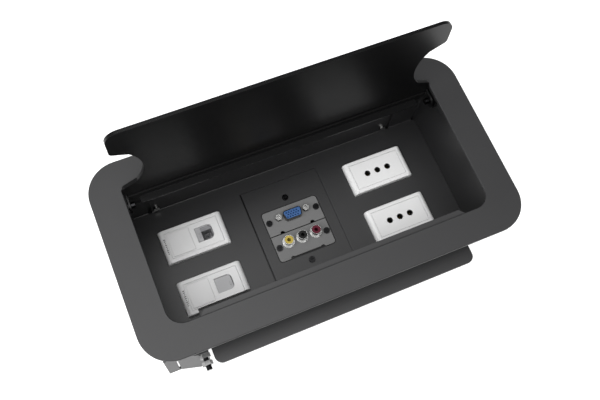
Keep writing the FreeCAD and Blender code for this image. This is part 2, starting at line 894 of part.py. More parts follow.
def data_insert(name):
    """A hollow insert: label recess, round-cornered window and the shutter's track under its skin."""
    skin_bottom = f"{INSERT_TOP} - data_skin"
    wide = f"({INSERT_BODY_WIDE} - 2*data_wall)"
    track = box(
        name + "_track",
        (f"-{INSERT_BODY_LONG}/2 + data_wall", "shutter_stop"),
        (f"-{wide}/2", f"{wide}/2"),
        (f"{SHUTTER_TOP} - shutter_thick - shutter_gap/2", skin_bottom),
    )
    chamber = box(
        name + "_chamber",
        (f"-{INSERT_BODY_LONG}/2 + data_wall", "shutter_stop"),
        (f"-{wide}/2 + rail_wide", f"{wide}/2 - rail_wide"),
        ("-insert_deep - overcut", skin_bottom),
    )
    below = slab(
        name + "_below",
        f"{INSERT_BODY_LONG} - 2*data_wall",
        wide,
        ("-insert_deep - overcut", TRACK_BOTTOM),
    )
    window = body(name + "_window")
    drawing = sketch(window, name + "_window_plan", offset=f"{skin_bottom} - overcut")
    pad(window, rectangle(drawing, WINDOW_X, WINDOW_Y), "data_skin + 2*overcut")
    right = window.Tip.Shape.BoundBox.XMax - 0.001
    corners = name + "_window_corners"
    fillet(window, corners, "window_corner", lambda edge: runs(edge, 2) and middle(edge).x > right)
    label = box(
        name + "_label_recess",
        ("-label_from_middle - label_long", "-label_from_middle"),
        ("-label_wide/2", "label_wide/2"),
        (f"{INSERT_TOP} - label_sink", f"{INSERT_TOP} + overcut"),
    )
    return cut(name, insert_blank(name), track, chamber, below, window, label)


def label_cover(name):
    low = f"{INSERT_TOP} - label_sink"
    plate = box(
        name + "_plate",
        ("-label_from_middle - label_long + insert_gap", "-label_from_middle - insert_gap"),
        ("-label_wide/2 + insert_gap", "label_wide/2 - insert_gap"),
        (low, f"{low} + label_thick"),
    )
    return group(name, plate)


def data_shutter(name, opened):
    """A thin slide under the window; opened is how far it stands from its closed stop."""
    end = f"shutter_stop - {opened}"
    half = f"({INSERT_BODY_WIDE}/2 - data_wall - shutter_gap)"
    plate = box(
        name + "_plate",
        (f"{end} - shutter_long", end),
        (f"-{half}", half),
        (f"{SHUTTER_TOP} - shutter_thick", SHUTTER_TOP),
    )
    grip_end = f"{end} - grip_inset"
    grip = box(
        name + "_grip",
        (f"{grip_end} - grip_long", grip_end),
        ("-grip_across/2", "grip_across/2"),
        (SHUTTER_TOP, f"{SHUTTER_TOP} + grip_high"),
    )
    return fuse(name, plate, grip)


def data_jack(name):
    """An eight-way jack: a block with a stepped port that faces up."""
    half_wide = f"({INSERT_BODY_WIDE}/2 - data_wall - rail_wide - screw_fit)"
    block = box(
        name + "_block",
        (f"{JACK_MIDDLE} - jack_long/2", f"{JACK_MIDDLE} + jack_long/2"),
        (f"-{half_wide}", half_wide),
        (f"{JACK_TOP} - jack_deep", JACK_TOP),
    )
    port = slab(
        name + "_port",
        "jack_port_long",
        "jack_port_wide",
        (f"{JACK_TOP} - jack_port_deep", f"{JACK_TOP} + overcut"),
        JACK_MIDDLE,
    )
    tab = box(
        name + "_tab",
        (f"{JACK_MIDDLE} - jack_tab_long/2", f"{JACK_MIDDLE} + jack_tab_long/2"),
        ("-jack_port_wide/2 - jack_tab_wide", "0"),
        (f"{JACK_TOP} - jack_port_deep", f"{JACK_TOP} + overcut"),
    )
    return cut(name, block, port, tab)


def make_modules():
    for end, side in (("rear", "+"), ("front", "-")):
        spots = {"power": "module_across", "data": "-module_across"}
        y = f"{WELL_MIDDLE} {side} module_spread"
        power = [
            module_frame(f"power_frame_{end}"),
            power_insert(f"power_insert_{end}"),
            power_contacts(f"power_contacts_{end}"),
        ]
        data = [
            module_frame(f"data_frame_{end}", cut_back=(end == "front")),
            data_insert(f"data_insert_{end}"),
            label_cover(f"label_cover_{end}"),
            data_jack(f"data_jack_{end}"),
            data_shutter(f"data_shutter_{end}", f"shutter_{end}_open"),
        ]
        for kind, pieces in (("power", power), ("data", data)):
            for piece in pieces:
                node(place(piece, spots[kind], y, "-panel_drop"), piece.Name)


# Audio and video group


BACKING_BOTTOM = f"({PANEL_BOTTOM} - backing_thick)"
THROUGH_BACKING = (f"{BACKING_BOTTOM} - overcut", "-panel_drop + overcut")
THROUGH_PANEL = (f"{PANEL_BOTTOM} - overcut", "-panel_drop + overcut")


def media_hole(name, y):
    return screw_hole(name, "0", y, THROUGH_BACKING)


def make_backing_frame():
    """A ring spot-welded under the panel; the media plate and the brackets screw to it."""
    span = (BACKING_BOTTOM, PANEL_BOTTOM)
    plate = slab("backing_plate", "backing_long", "backing_wide", span, "0", WELL_MIDDLE)
    window = slab(
        "backing_window",
        "backing_window_long",
        "backing_window_wide",
        THROUGH_BACKING,
        "0",
        WELL_MIDDLE,
    )
    node(cut("backing_frame", plate, window, *bracket_holes(), *media_holes()), "backing_frame")


def media_holes():
    return [media_hole("media_hole", f"{WELL_MIDDLE} {side} media_screw_spread") for side in "-+"]


def bracket_screw_places():
    return [
        (f"{side}bracket_screw_across", f"{WELL_MIDDLE} {rise}")
        for rise in ("+ video_screw_rise", "- phono_screw_drop")
        for side in "-+"
    ]


def bracket_holes():
    return [screw_hole("bracket_hole", x, y, THROUGH_BACKING) for x, y in bracket_screw_places()]


def make_media_plate():
    span = (PANEL_BOTTOM, "-panel_drop")
    plate = slab("media_blank", "media_long", "media_wide", span, "media_offset", WELL_MIDDLE)
    window = body("media_window")
    plan = rectangle(
        sketch(window, "media_window_plan", offset=f"{PANEL_BOTTOM} - overcut"),
        ("-bracket_long/2 - bracket_gap", "bracket_long/2 + bracket_gap"),
        (
            f"{WELL_MIDDLE} - bracket_wide/2 - bracket_gap",
            f"{WELL_MIDDLE} + bracket_wide/2 + bracket_gap",
        ),
    )
    pad(window, plan, "panel_sheet + 2*overcut")
    fillet(window, "media_window_corners", "bracket_corner + bracket_gap", lambda edge: runs(edge, 2))
    node(cut("media_plate", plate, window, *media_holes()), "media_plate")


def make_media_screws():
    shank = "panel_sheet + backing_thick + screw_end"
    screws = [
        pan_head("media_screw", "0", f"{WELL_MIDDLE} {side} media_screw_spread", "-panel_drop", shank)
        for side in "-+"
    ]
    node(group("media_screws", *screws), "media_screws")
    screws = [pan_head("bracket_screw", x, y, "-panel_drop", shank) for x, y in bracket_screw_places()]
    node(group("bracket_screws", *screws), "bracket_screws")


def bracket_plate(name, y, round_side):
    """A grey bracket; its two outer corners are round, the pair on the split is square."""
    plate = body(name + "_plate")
    x = ("-bracket_long/2", "bracket_long/2")
    plan = rectangle(sketch(plate, name + "_plan", offset=PANEL_BOTTOM), x, y)
    pad(plate, plan, "panel_sheet")
    bounds = plate.Tip.Shape.BoundBox
    outer = bounds.YMax if round_side > 0 else bounds.YMin
    half = SIZES["bracket_long"] / 2
    fillet(plate, name + "_corners", "bracket_corner", lambda edge: at_corner(edge, half, outer))
    return plate


def notches(name, y):
    places = [f"{side}bracket_notch_across" for side in "-+"]
    return [rod(name + "_notch", "bracket_notch", x, y, THROUGH_PANEL) for x in places]


def video_outline(drawing, shrink):
    """The D shape: wide at the rear, narrow at the front."""
    y = f"{WELL_MIDDLE} + video_rise"
    return outline(
        drawing,
        [
            (f"-video_narrow/2 + {shrink}", f"{y} - video_high/2 + {shrink}"),
            (f"video_narrow/2 - {shrink}", f"{y} - video_high/2 + {shrink}"),
            (f"video_wide/2 - {shrink}", f"{y} + video_high/2 - {shrink}"),
            (f"-video_wide/2 + {shrink}", f"{y} + video_high/2 - {shrink}"),
        ],
    )


def video_block(name, shrink, low, high):
    block = body(name)
    drawing = video_outline(sketch(block, name + "_plan", offset=low), shrink)
    pad(block, drawing, f"({high}) - ({low})")
    fillet(block, name + "_corners", f"video_corner - {shrink}", lambda edge: runs(edge, 2))
    return block


VIDEO_TOP = "(-panel_drop + video_proud)"
VIDEO_FLANGE_LOW = f"({PANEL_BOTTOM} - video_flange_thick)"


def jackscrew_places():
    return [(f"{side}jackscrew_spacing/2", f"{WELL_MIDDLE} + jackscrew_rise") for side in "-+"]


def make_video_bracket():
    y = (f"{WELL_MIDDLE} + bracket_split + bracket_split_gap/2", f"{WELL_MIDDLE} + bracket_wide/2")
    window = video_block("video_window", "(0 - video_fit)", *THROUGH_PANEL)
    posts = [screw_hole("post_hole", x, post_y, THROUGH_PANEL) for x, post_y in jackscrew_places()]
    tools = [window, *posts, *bracket_holes(), *notches("video", y[0])]
    node(cut("video_bracket", bracket_plate("video_bracket", y, 1), *tools), "video_bracket")


def make_video_connector():
    y = f"{WELL_MIDDLE} + video_rise"
    flange = slab(
        "video_flange", "video_flange_long", "video_flange_wide", (VIDEO_FLANGE_LOW, PANEL_BOTTOM), "0", y
    )
    tube = video_block("video_tube", "0", VIDEO_FLANGE_LOW, VIDEO_TOP)
    through = (f"{VIDEO_FLANGE_LOW} - overcut", f"{VIDEO_TOP} + overcut")
    hollow = video_block("video_hollow", "video_wall", *through)
    span = (f"{VIDEO_FLANGE_LOW} - overcut", f"{PANEL_BOTTOM} + overcut")
    posts = [screw_hole("flange_hole", x, post_y, span) for x, post_y in jackscrew_places()]
    node(cut("video_shell", fuse("video_shell_blank", flange, tube), hollow, *posts), "video_shell")
    top = f"({VIDEO_TOP} - video_sink)"
    core = video_block("video_core", "(video_wall + video_fit)", f"{PANEL_BOTTOM} - video_body_deep", top)
    holes = []
    span = (f"{top} - video_hole_deep", f"{top} + overcut")
    for row in (-1, 0, 1):
        shift = "video_stagger/2" if row == 0 else "-video_stagger/2"
        for column in (-2, -1, 0, 1, 2):
            x = f"({column} + {shift})*video_pitch"
            holes.append(rod("pin_hole", "video_hole_radius", x, f"{y} + ({row})*video_row", span))
    node(cut("video_insert", core, *holes), "video_insert")


JACKSCREW_FLOOR = "(-panel_drop + jackscrew_floor)"


def make_jackscrews():
    posts = []
    for x, y in jackscrew_places():
        top = "(-panel_drop + jackscrew_high)"
        nut = hexagon("jackscrew_hex", "jackscrew_radius", x, y, ("-panel_drop", top))
        stem_span = (f"{VIDEO_FLANGE_LOW} - screw_end", "-panel_drop")
        stem = rod("jackscrew_stem", "small_screw_radius", x, y, stem_span)
        bore = rod("jackscrew_tap", "jackscrew_bore", x, y, (JACKSCREW_FLOOR, f"{top} + overcut"))
        posts.append(cut("jackscrew", fuse("jackscrew_blank", nut, stem), bore))
    node(group("jackscrews", *posts), "jackscrews")


def make_phono_group():
    y = (f"{WELL_MIDDLE} - bracket_wide/2", f"{WELL_MIDDLE} + bracket_split - bracket_split_gap/2")
    line = f"{WELL_MIDDLE} - phono_drop"
    places = {"yellow": "-phono_pitch", "black": "0", "red": "phono_pitch"}
    holes = [screw_hole("phono_hole", x, line, THROUGH_PANEL, "phono_radius") for x in places.values()]
    slot = box(
        "phono_slot",
        ("-bracket_notch_across", "bracket_notch_across"),
        (f"{y[0]} - overcut", f"{y[0]} + bracket_slot_deep"),
        THROUGH_PANEL,
    )
    tools = [slot, *holes, *bracket_holes(), *notches("phono", y[0])]
    node(cut("phono_bracket", bracket_plate("phono_bracket", y, -1), *tools), "phono_bracket")
    top = "(-panel_drop + phono_proud)"
    low = f"({PANEL_BOTTOM} - phono_deep)"
    for colour, x in places.items():
        tube = rod("barrel_tube", "phono_radius", x, line, (f"{PANEL_BOTTOM} - phono_tail", top))
        collar_span = ("-panel_drop", "-panel_drop + phono_collar_high")
        collar = rod("barrel_collar", "phono_collar_radius", x, line, collar_span)
        bore_span = (f"{PANEL_BOTTOM} - phono_tail - overcut", f"{top} + overcut")
        bore = rod("barrel_bore", "phono_radius - phono_wall", x, line, bore_span)
        barrel = cut(f"phono_barrel_{colour}", fuse("barrel_blank", tube, collar), bore)
        node(barrel, f"phono_barrel_{colour}")
        core_radius = "phono_radius - phono_wall - screw_fit"
        core = rod("jack_core", core_radius, x, line, (low, f"{top} - phono_sink"))
        pin = rod("jack_bore", "phono_bore", x, line, (f"{top} - phono_bore_deep", f"{top} + overcut"))
        node(cut(f"phono_jack_{colour}", core, pin), f"phono_jack_{colour}")


# Lid and hinge. The lid's pieces are modelled closed, about the hinge axis.


def hang(thing):
    """Put a piece of the lid on the hinge axis and turn it open."""
    turn(thing, (-1, 0, 0), 90)
    thing.setExpression("Placement.Rotation.Angle", named("lid_open"))
    return place(thing, "0", HINGE_Y, "-hinge_drop")


def notch_outline(drawing):
    """A finger notch: a round bottom whose ends run out to the lid's side in straight flares."""
    throat = f"{LID_HALF} - notch_deep + notch_radius - sqrt(notch_radius^2 - notch_throat^2)"
    bottom = Part.ArcOfCircle(Part.Circle(Vector(140.5, -43.7, 0), Vector(0, 0, 1), 35), 2.488, 3.795)
    arc = drawing.addGeometry(bottom, False)
    index = drawing.addConstraint(Sketcher.Constraint("Radius", arc, 35.0))
    drawing.setExpression(f"Constraints[{index}]", named("notch_radius"))
    for end, sign in ((1, "+"), (2, "-")):
        locate(drawing, arc, end, throat, f"-{HINGE_Y} {sign} notch_throat")
    corners = [
        (LID_HALF, f"-{HINGE_Y} - notch_mouth"),
        (f"{LID_HALF} + 5", f"-{HINGE_Y} - notch_mouth"),
        (f"{LID_HALF} + 5", f"-{HINGE_Y} + notch_mouth"),
        (LID_HALF, f"-{HINGE_Y} + notch_mouth"),
    ]
    rough = [(112, -65), (125, -72), (130, -72), (130, -16), (125, -16), (112, -22)]
    spots = [Vector(x, y, 0) for x, y in rough]
    lines = [drawing.addGeometry(Part.LineSegment(a, b), False) for a, b in zip(spots, spots[1:])]
    for line, following in zip(lines, lines[1:]):
        drawing.addConstraint(Sketcher.Constraint("Coincident", line, 2, following, 1))
    drawing.addConstraint(Sketcher.Constraint("Coincident", arc, 2, lines[0], 1))
    drawing.addConstraint(Sketcher.Constraint("Coincident", lines[-1], 2, arc, 1))
    for line, corner in zip(lines[1:], corners):
        locate(drawing, line, 1, *corner)
    return drawing


def make_lid_panel():
    lid = body("lid_panel")
    front = f"-({HINGE_Y} + opening_wide/2 - lid_front_gap)"
    across = (f"-{LID_HALF}", LID_HALF)
    plan = rectangle(sketch(lid, "lid_plan", offset=LID_INNER), across, (front, "lid_tail"))
    pad(lid, plan, "lid_thick")
    fillet(lid, "lid_front_corners", "lid_front_corner", lambda edge: runs(edge, 2) and middle(edge).y < 0)
    fillet(lid, "lid_rear_corners", "lid_rear_corner", lambda edge: runs(edge, 2) and middle(edge).y > 0)
    notch = pocket(lid, notch_outline(sketch(lid, "notch_plan", offset=LID_OUTER)), "lid_thick")
    mirror = lid.newObject("PartDesign::Mirrored", "far_notch")
    mirror.Originals = [notch]
    centre_plane = next(plane for plane in lid.Origin.OriginFeatures if plane.Role == "YZ_Plane")
    mirror.MirrorPlane = (centre_plane, [""])
    lid.Tip = mirror
    doc.recompute()
    half = SIZES["opening_long"] / 2 - SIZES["lid_side_gap"]
    axis = -(SIZES["opening_wide"] / 2 - SIZES["hinge_inset"])
    mouth_ends = (axis - SIZES["notch_mouth"], axis + SIZES["notch_mouth"])
    fillet(
        lid,
        "notch_corners",
        "notch_corner",
        lambda edge: any(at_corner(edge, half, y) for y in mouth_ends),
    )
    node(hang(lid), "lid_panel")


def make_hinge_channel():
    """A folded strip on the lid's inner face; its end tabs turn on the pivot screws."""
    leg = box(
        "channel_leg",
        (f"-{TAB_OUTER}", TAB_OUTER),
        ("-channel_ahead", "channel_behind"),
        (f"{LID_INNER} - channel_sheet", LID_INNER),
    )
    web = box(
        "channel_web",
        (f"-{TAB_OUTER} + channel_relief", f"{TAB_OUTER} - channel_relief"),
        ("channel_behind - channel_sheet", "channel_behind"),
        (f"{LID_INNER} - channel_web", LID_INNER),
    )
    pieces = [leg, web]
    holes = []
    left_tab = (f"-{TAB_OUTER}", f"-{TAB_OUTER} + channel_sheet")
    right_tab = (f"{TAB_OUTER} - channel_sheet", TAB_OUTER)
    for span in (left_tab, right_tab):
        pieces.append(box("tab", span, ("-tab_radius", "tab_heel"), ("0", LID_INNER)))
        pieces.append(rod("tab_end", "tab_radius", span, "0", "0"))
        holes.append(screw_hole("tab_hole", (f"{span[0]} - overcut", f"{span[1]} + overcut"), "0", "0"))
    node(hang(cut("hinge_channel", fuse("channel_blank", *pieces), *holes)), "hinge_channel")


BRACKET_FACE = "(opening_long/2 - lid_side_gap/2)"


def outwards(sign, near, far):
    """A span along X given by distances from the middle, on the left or the right."""
    return (near, far) if sign > 0 else (f"-({far})", f"-({near})")


def make_hinge_brackets():
    """Angle brackets under the frame that carry the pivot screws."""
    bracket_out = f"{BRACKET_FACE} + hinge_bracket_sheet"
    for label, sign in (("left", -1), ("right", 1)):
        wall = outwards(sign, BRACKET_FACE, bracket_out)
        foot = outwards(sign, BRACKET_FACE, f"{BRACKET_FACE} + hinge_bracket_foot")
        across = (f"{HINGE_Y} - hinge_bracket_radius", f"{HINGE_Y} + hinge_bracket_radius")
        pieces = [
            box("bracket_wall", wall, across, ("-hinge_drop", "0")),
            rod("bracket_end", "hinge_bracket_radius", wall, HINGE_Y, "-hinge_drop"),
            box("bracket_foot", foot, across, ("-hinge_bracket_sheet", "0")),
        ]
        through = outwards(sign, f"{BRACKET_FACE} - overcut", f"{bracket_out} + overcut")
        hole = screw_hole("pivot_hole", through, HINGE_Y, "-hinge_drop")
        node(cut(f"hinge_bracket_{label}", fuse("bracket_blank", *pieces), hole), f"hinge_bracket_{label}")


def make_pivots():
    screws, washers, nuts = [], [], []
    inner = f"{TAB_OUTER} - channel_sheet - pivot_play"
    bracket_out = f"{BRACKET_FACE} + hinge_bracket_sheet"
    nut_end = f"{bracket_out} + small_nut_high"
    washer_in = f"{BRACKET_FACE} - pivot_washer_thick"
    for sign in (-1, 1):
        def along(name, radius, near, far):
            return rod(name, radius, outwards(sign, near, far), HINGE_Y, "-hinge_drop")

        head = along("pivot_head", "pivot_head_radius", f"{inner} - pivot_head_high", inner)
        shank = along("pivot_shank", "small_screw_radius", inner, f"{nut_end} + screw_end")
        screws.append(fuse("pivot_screw", head, shank))
        bore = "small_screw_radius + screw_fit"
        washer = along("pivot_washer", "pivot_washer_radius", washer_in, BRACKET_FACE)
        washers.append(cut("washer", washer, along("washer_hole", bore, inner, nut_end)))
        nut_span = outwards(sign, bracket_out, nut_end)
        nut = hexagon("pivot_nut", "small_nut_radius", nut_span, HINGE_Y, "-hinge_drop")
        nuts.append(cut("nut", nut, along("nut_hole", bore, inner, f"{nut_end} + overcut")))
    node(group("pivot_screws", *screws), "pivot_screws")
    node(group("pivot_washers", *washers), "pivot_washers")
    node(group("pivot_nuts", *nuts), "pivot_nuts")


# Clamps. Each is modelled outwards from its wall, along +Y, then turned for the front.


WALLS = {
    "front": ("-(shell_front + shell_sheet)", "(shell_front + shell_sheet)", 180),
    "rear": ("(shell_rear + shell_sheet)", "(shell_rear + shell_sheet)", 0),
}


def stand(thing, wall):
    """Move a piece modelled at y = 0 to the outside of a wall."""
    y, _, angle = WALLS[wall]
    turn(thing, (0, 0, 1), angle)
    return place(thing, "0", y)


def clamp_bar(name, wall):
    """An angle bar: the leg slides on the wall, the flange bears up on the worktop."""
    bar = body(name + "_body")
    reach = f"frame_wide/2 + clamp_past - {WALLS[wall][1]}"
    section = outline(
        sketch(bar, name + "_section", "YZ_Plane"),
        [
            ("clamp_gap", "-clamp_drop"),
            ("clamp_gap", "-clamp_drop - clamp_leg"),
            ("clamp_gap + clamp_thick", "-clamp_drop - clamp_leg"),
            ("clamp_gap + clamp_thick", "-clamp_drop - clamp_thick"),
            (reach, "-clamp_drop - clamp_thick"),
            (reach, "-clamp_drop"),
        ],
    )
    pad(bar, section, "clamp_long", both_ways=True)
    tip = bar.Tip.Shape.BoundBox.YMax - 0.001
    fillet(bar, name + "_corners", "clamp_corner", lambda edge: runs(edge, 2) and middle(edge).y > tip)
    tools = []
    low = "-clamp_screw_drop - clamp_travel_up"
    high = "-clamp_screw_drop + clamp_travel_down"
    for side in "-+":
        x = f"{side}clamp_screw_across"
        across = ("-overcut", "clamp_gap + clamp_thick + overcut")
        sides = (f"{x} - clamp_slot_wide/2", f"{x} + clamp_slot_wide/2")
        tools.append(box(name + "_slot", sides, across, (low, high)))
        for end in (low, high):
            tools.append(rod(name + "_slot_end", "clamp_slot_wide/2", x, across, end))
    return stand(cut(name, bar, *tools), wall)


def clamp_fasteners(wall):
    screws, washers, nuts = [], [], []
    outer = "clamp_gap + clamp_thick"
    seat = f"{outer} + washer_thick"
    inside = "-shell_sheet"
    z = "-clamp_screw_drop"
    tip = f"{inside} - large_nut_high - screw_end"
    hole = (f"{tip} - overcut", f"{seat} + overcut")
    for side in "-+":
        x = f"{side}clamp_screw_across"
        screws.append(
            fuse(
                "clamp_screw",
                hexagon("clamp_head", "large_head_radius", x, (seat, f"{seat} + large_head_high"), z),
                rod("clamp_shank", "large_screw_radius", x, (tip, seat), z),
            )
        )
        washer = rod("clamp_washer", "washer_radius", x, (outer, seat), z)
        washers.append(cut("clamp_ring", washer, screw_hole("ring_hole", x, hole, z, "large_screw_radius")))
        nut = hexagon("clamp_nut", "large_nut_radius", x, (f"{inside} - large_nut_high", inside), z)
        nuts.append(cut("clamp_hex", nut, screw_hole("hex_hole", x, hole, z, "large_screw_radius")))
    groups = (group("screw_pair", *screws), group("washer_pair", *washers), group("nut_pair", *nuts))
    return [stand(pair, wall) for pair in groups]


def make_clamps():
    screws, washers, nuts = [], [], []
    for wall in WALLS:
        node(clamp_bar(f"clamp_bar_{wall}", wall), f"clamp_bar_{wall}")
        for kept, piece in zip((screws, washers, nuts), clamp_fasteners(wall)):
            kept.append(piece)
    node(group("clamp_screws", *screws), "clamp_screws")
    node(group("clamp_washers", *washers), "clamp_washers")
    node(group("clamp_nuts", *nuts), "clamp_nuts")


def stop_channel(name):
    """A plate with two shallow bends, held off the wall by a flange and a foot folded from its top."""
    plate = body(name + "_body")
    inner_face = ("stop_far_reach - stop_sheet", "stop_near_reach - stop_sheet")
    plan = outline(
        sketch(plate, name + "_plan", offset="-stop_bottom"),
        [
            ("stop_inner", "stop_near_reach"),
            ("stop_inner", inner_face[1]),
            ("stop_inner_bend", inner_face[1]),
            ("stop_outer_bend", inner_face[0]),
            ("stop_outer", inner_face[0]),
            ("stop_outer", "stop_far_reach"),
            ("stop_outer_bend", "stop_far_reach"),
            ("stop_inner_bend", "stop_near_reach"),
        ],
    )
    pad(plate, plan, "stop_bottom - stop_top")
    across = ("stop_foot_start", "stop_foot_end")
    flange_span = ("-stop_top - stop_sheet", "-stop_top")
    flange = box(name + "_flange", across, ("0", inner_face[0]), flange_span)
    foot = box(name + "_foot", across, ("0", "stop_sheet"), ("-stop_top - stop_foot_long", "-stop_top"))
    link = body(name + "_link")
    link_plan = outline(
        sketch(link, name + "_link_plan", offset=flange_span[0]),
        [
            ("stop_foot_start", "stop_sheet"),
            ("stop_outer_bend", "stop_sheet"),
            ("stop_outer_bend", "stop_far_reach"),
            (
                "stop_foot_start",
                "stop_near_reach - (stop_foot_start - stop_inner_bend)*(stop_near_reach - stop_far_reach)"
                "/(stop_outer_bend - stop_inner_bend)",
            ),
        ],
    )
    pad(link, link_plan, "stop_sheet")
    hole_span = (f"{inner_face[1]} - overcut", "stop_near_reach + overcut")
    hole = screw_hole("stop_hole", "stop_screw_across", hole_span, "-stop_screw_drop", "large_screw_radius")
    slit = box(
        name + "_slit",
        ("stop_outer_bend - stop_slit_wide/2", "stop_outer_bend + stop_slit_wide/2"),
        (f"{inner_face[0]} - overcut", "stop_far_reach + overcut"),
        ("-stop_bottom + stop_slit_inset", "-stop_top - 2*stop_slit_inset"),
    )
    return cut(name, fuse(name + "_blank", plate, flange, link, foot), hole, slit)


def stop_screw_set():
    x, z = "stop_screw_across", "-stop_screw_drop"
    back = "stop_near_reach - stop_sheet"
    first = ("stop_near_reach", "stop_near_reach + large_nut_high")
    second_start = f"{first[1]} + stop_screw_gap"
    second = (second_start, f"{second_start} + large_nut_high")
    screw = fuse(
        "stop_screw",
        hexagon("stop_head", "large_nut_radius", x, (f"{back} - large_head_high", back), z),
        rod("stop_shank", "large_screw_radius", x, (back, f"{second[1]} + stop_screw_end"), z),
    )
    nuts = []
    tap = (f"{back} - overcut", f"{second[1]} + overcut")
    for span in (first, second):
        blank = hexagon("stop_nut", "large_nut_radius", x, span, z)
        nuts.append(cut("stop_hex", blank, screw_hole("stop_tap", x, tap, z, "large_screw_radius")))
    return screw, group("stop_nut_pair", *nuts)


def make_stops():
    screws, nuts = [], []
    for wall in WALLS:
        node(stand(stop_channel(f"stop_channel_{wall}"), wall), f"stop_channel_{wall}")
        screw, pair = stop_screw_set()
        screws.append(stand(screw, wall))
        nuts.append(stand(pair, wall))
    node(group("stop_screws", *screws), "stop_screws")
    node(group("stop_nuts", *nuts), "stop_nuts")


def check():
    for thing in doc.Objects:
        if "Invalid" in thing.State or "Error" in thing.State:
            raise RuntimeError(f"{thing.Label} did not compute: {thing.State}")
    for piece in nodes:
        if piece.Shape.isNull() or not piece.Shape.isValid() or not piece.Shape.Solids:
            raise RuntimeError(piece.Label + " is not a valid solid")


def write():
    os.makedirs("parts", exist_ok=True)
    for piece in nodes:
        piece.Shape.exportStep(f"parts/{piece.Label}.step")
        print(piece.Label, len(piece.Shape.Solids), round(piece.Shape.Volume, 1))


def main():
    make_top_frame()
    make_lid_ledge()
    make_housing_shell()
    make_socket_panel()
    make_wall_screws()
    make_bottom_cover()
    make_cable_grommets()
    make_cover_screws()
    make_modules()
    make_backing_frame()
    make_media_plate()
    make_media_screws()
    make_video_bracket()
    make_video_connector()
    make_jackscrews()
    make_phono_group()
    make_lid_panel()
    make_hinge_channel()
    make_hinge_brackets()
    make_pivots()
    make_clamps()
    make_stops()
    doc.recompute()
    check()
    write()


main()
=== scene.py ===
"""Finishes, small parts and studio of the countertop socket box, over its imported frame.

All lengths are metres in the part's own frame: X along the box, Y from the user to the hinge, Z up, with
the origin at the centre of the top frame on the worktop's surface.
"""

import json
import logging
from dataclasses import dataclass
from enum import Enum
from math import radians
from typing import Any, Sequence, Union

import bpy
import numpy as np
from mathutils import Matrix, Vector

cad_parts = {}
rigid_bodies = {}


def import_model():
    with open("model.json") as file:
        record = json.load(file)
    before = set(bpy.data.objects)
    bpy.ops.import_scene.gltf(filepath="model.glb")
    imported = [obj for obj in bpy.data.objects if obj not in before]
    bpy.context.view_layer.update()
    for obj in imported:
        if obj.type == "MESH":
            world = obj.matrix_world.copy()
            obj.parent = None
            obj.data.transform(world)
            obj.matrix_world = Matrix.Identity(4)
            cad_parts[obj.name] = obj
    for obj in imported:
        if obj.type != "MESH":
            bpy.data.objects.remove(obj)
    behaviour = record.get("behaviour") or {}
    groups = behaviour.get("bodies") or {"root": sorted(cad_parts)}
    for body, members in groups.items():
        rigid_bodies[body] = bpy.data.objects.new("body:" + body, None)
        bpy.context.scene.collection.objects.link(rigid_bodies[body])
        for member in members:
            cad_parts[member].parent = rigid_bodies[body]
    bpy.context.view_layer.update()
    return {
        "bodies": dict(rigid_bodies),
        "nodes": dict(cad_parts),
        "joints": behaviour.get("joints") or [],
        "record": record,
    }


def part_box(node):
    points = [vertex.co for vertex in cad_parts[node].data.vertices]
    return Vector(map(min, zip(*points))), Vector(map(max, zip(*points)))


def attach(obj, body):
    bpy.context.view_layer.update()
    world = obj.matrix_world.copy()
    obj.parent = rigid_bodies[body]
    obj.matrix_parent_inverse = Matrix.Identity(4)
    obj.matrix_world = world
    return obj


LOG = logging.getLogger("socket_box")
MM = 0.001

Colour = tuple[float, float, float]
Point = tuple[float, float, float]
Operand = Union["Signal", float]


# Shader graphs


class Signal:
    """A value socket on which arithmetic adds Math nodes."""

    def __init__(self, graph: "Graph", socket: bpy.types.NodeSocket) -> None:
        """Wrap one output socket of a graph."""
        self.graph = graph
        self.socket = socket

    def _math(self, operation: str, first: Operand, second: Operand) -> "Signal":
        """One Math node on two operands."""
        return self.graph.add("ShaderNodeMath", {"operation": operation}, {0: first, 1: second})

    def __add__(self, other: Operand) -> "Signal":
        """Sum."""
        return self._math("ADD", self, other)

    def __radd__(self, other: Operand) -> "Signal":
        """Sum, reflected."""
        return self._math("ADD", other, self)

    def __sub__(self, other: Operand) -> "Signal":
        """Difference."""
        return self._math("SUBTRACT", self, other)

    def __mul__(self, other: Operand) -> "Signal":
        """Product."""
        return self._math("MULTIPLY", self, other)


